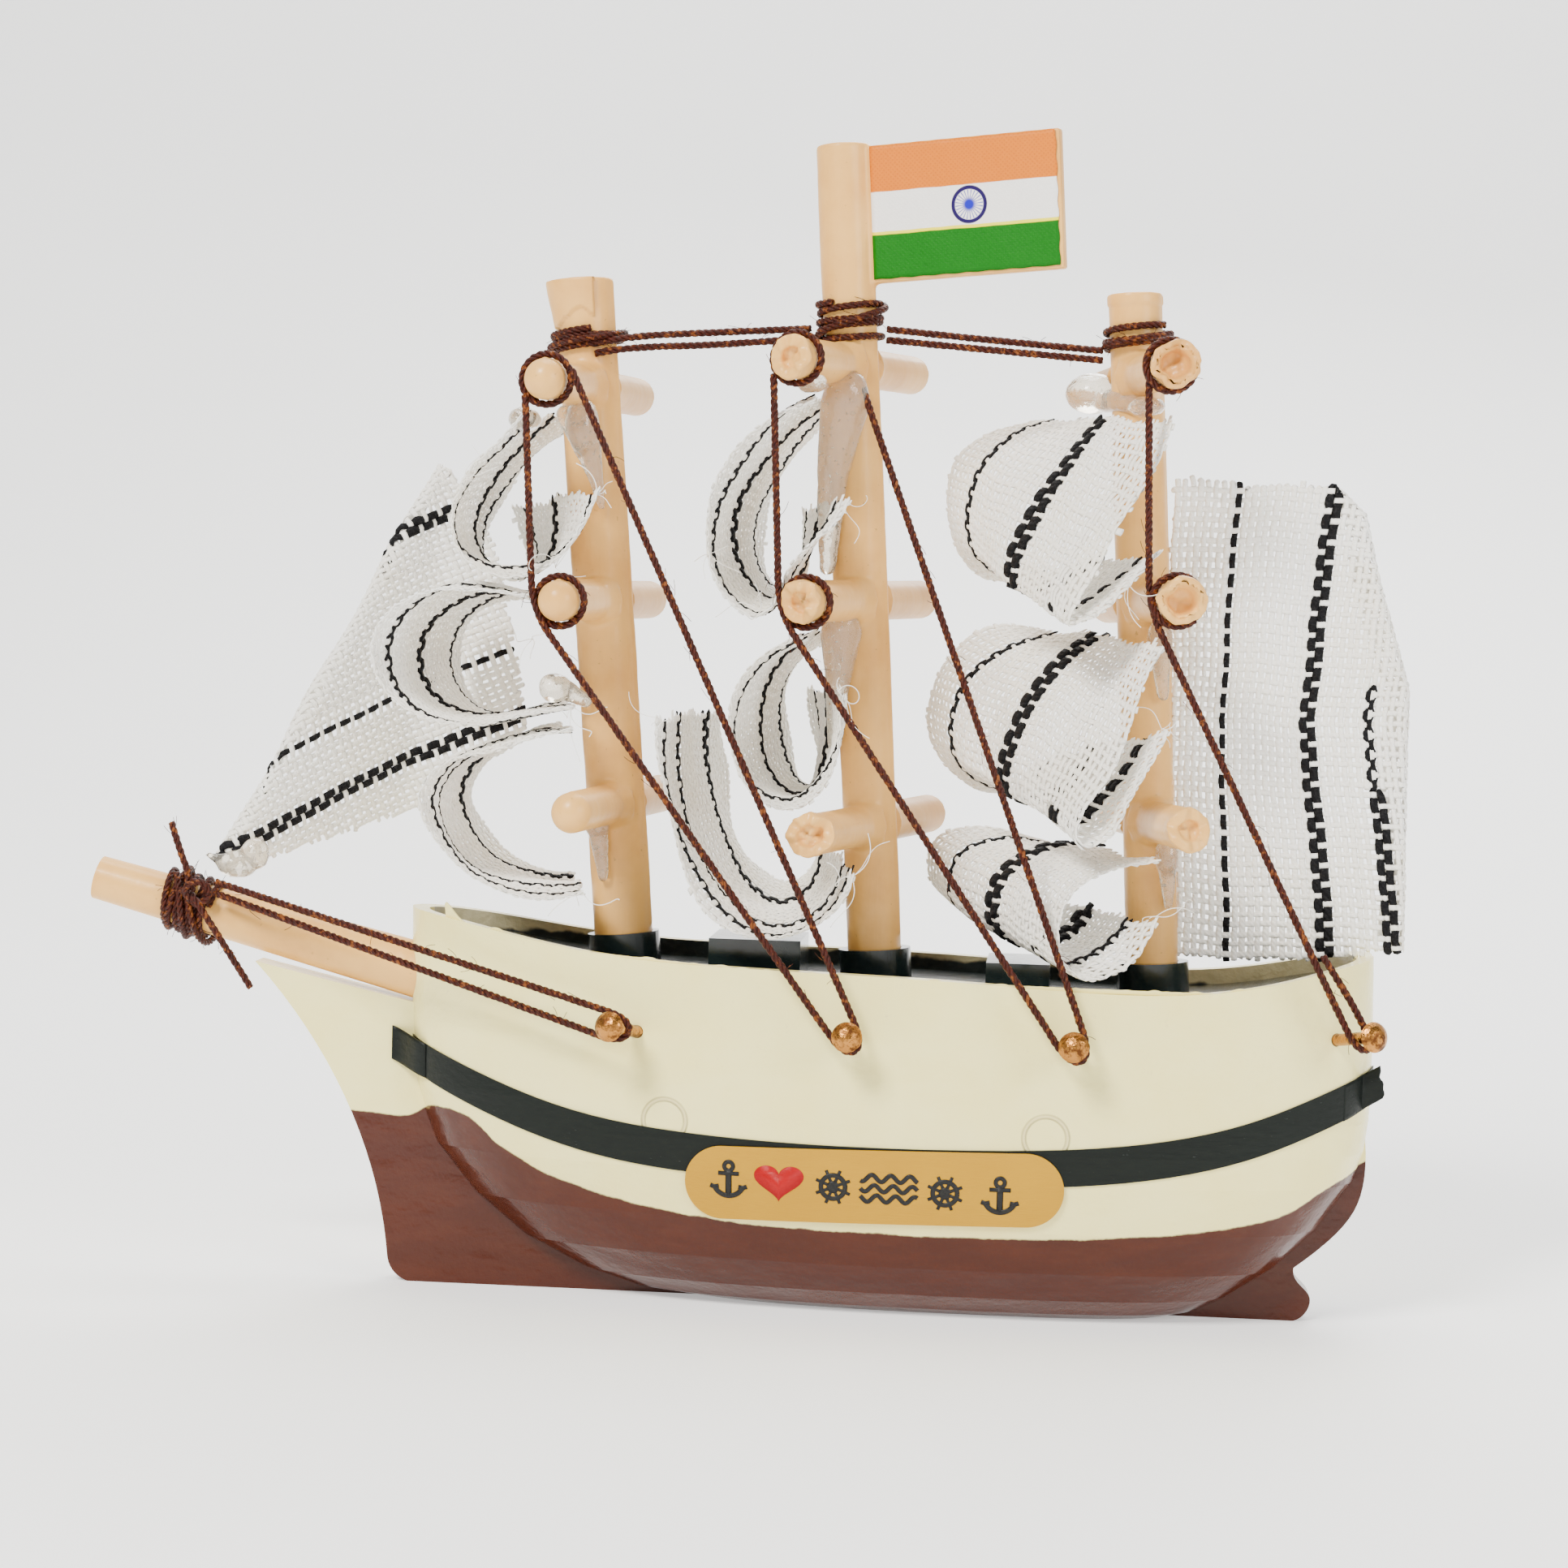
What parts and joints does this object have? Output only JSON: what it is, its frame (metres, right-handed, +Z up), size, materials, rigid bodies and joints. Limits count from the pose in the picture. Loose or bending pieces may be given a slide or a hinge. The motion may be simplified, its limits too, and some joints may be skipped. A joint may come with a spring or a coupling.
{
  "type": "model sailing ship",
  "caption": "Small moulded souvenir sailing ship with square-rigged masts, curled gauze sails, thread rigging and a flag, standing on its keel.",
  "frame": {"origin": "on the plane the flat keel rests on, below the middle of the hull, on the centre plane between the two hull halves", "axes": "+X to the stern, the bowsprit at -X; -Y is the port side, with the brass pins and the name plate; +Z up"},
  "size_m": [0.1102, 0.0342, 0.0968],
  "materials": {
    "cream_plastic": "glossy moulded cream hull, painted brown below",
    "peach_plastic": "glossy pale peach moulded spars",
    "black_plastic": "glossy black moulded deck",
    "brass": "bright, lightly tarnished",
    "flag_print": "printed paper label, satin",
    "dark_tape": "satin dark green-black tape",
    "gold_foil": "gold foil sticker with a dark print",
    "gauze": "open woven cotton gauze with dark stitched zigzags",
    "thread": "waxed twisted brown thread",
    "clear_glue": "clear set hot glue, glossy"
  },
  "bodies": {
    "root": {"hull_port_half": "cream_plastic", "hull_starboard_half": "cream_plastic", "bowsprit": "peach_plastic", "brass_pins": "brass", "fore_mast": "peach_plastic", "main_mast": "peach_plastic", "mizzen_mast": "peach_plastic", "flag_label": "flag_print", "deck": "black_plastic", "port_stripe": "dark_tape", "starboard_stripe": "dark_tape", "name_plate": "gold_foil", "fore_upper_sail": "gauze", "fore_middle_sail": "gauze", "fore_lower_sail": "gauze", "main_upper_sail": "gauze", "main_middle_sail": "gauze", "main_lower_sail": "gauze", "mizzen_upper_sail": "gauze", "mizzen_middle_sail": "gauze", "mizzen_lower_sail": "gauze", "spanker_sail": "gauze", "jib_sail": "gauze", "fore_line": "thread", "main_line": "thread", "mizzen_line": "thread", "bowsprit_line": "thread", "fore_yard_loops": "thread", "main_yard_loops": "thread", "mizzen_yard_loops": "thread", "fore_head_lashing": "thread", "main_head_lashing": "thread", "mizzen_head_lashing": "thread", "fore_top_stay": "thread", "aft_top_stay": "thread", "bowsprit_lashing": "thread", "fore_glue": "clear_glue", "main_glue": "clear_glue", "mizzen_glue": "clear_glue", "bowsprit_glue": "clear_glue"}
  },
  "joints": []
}
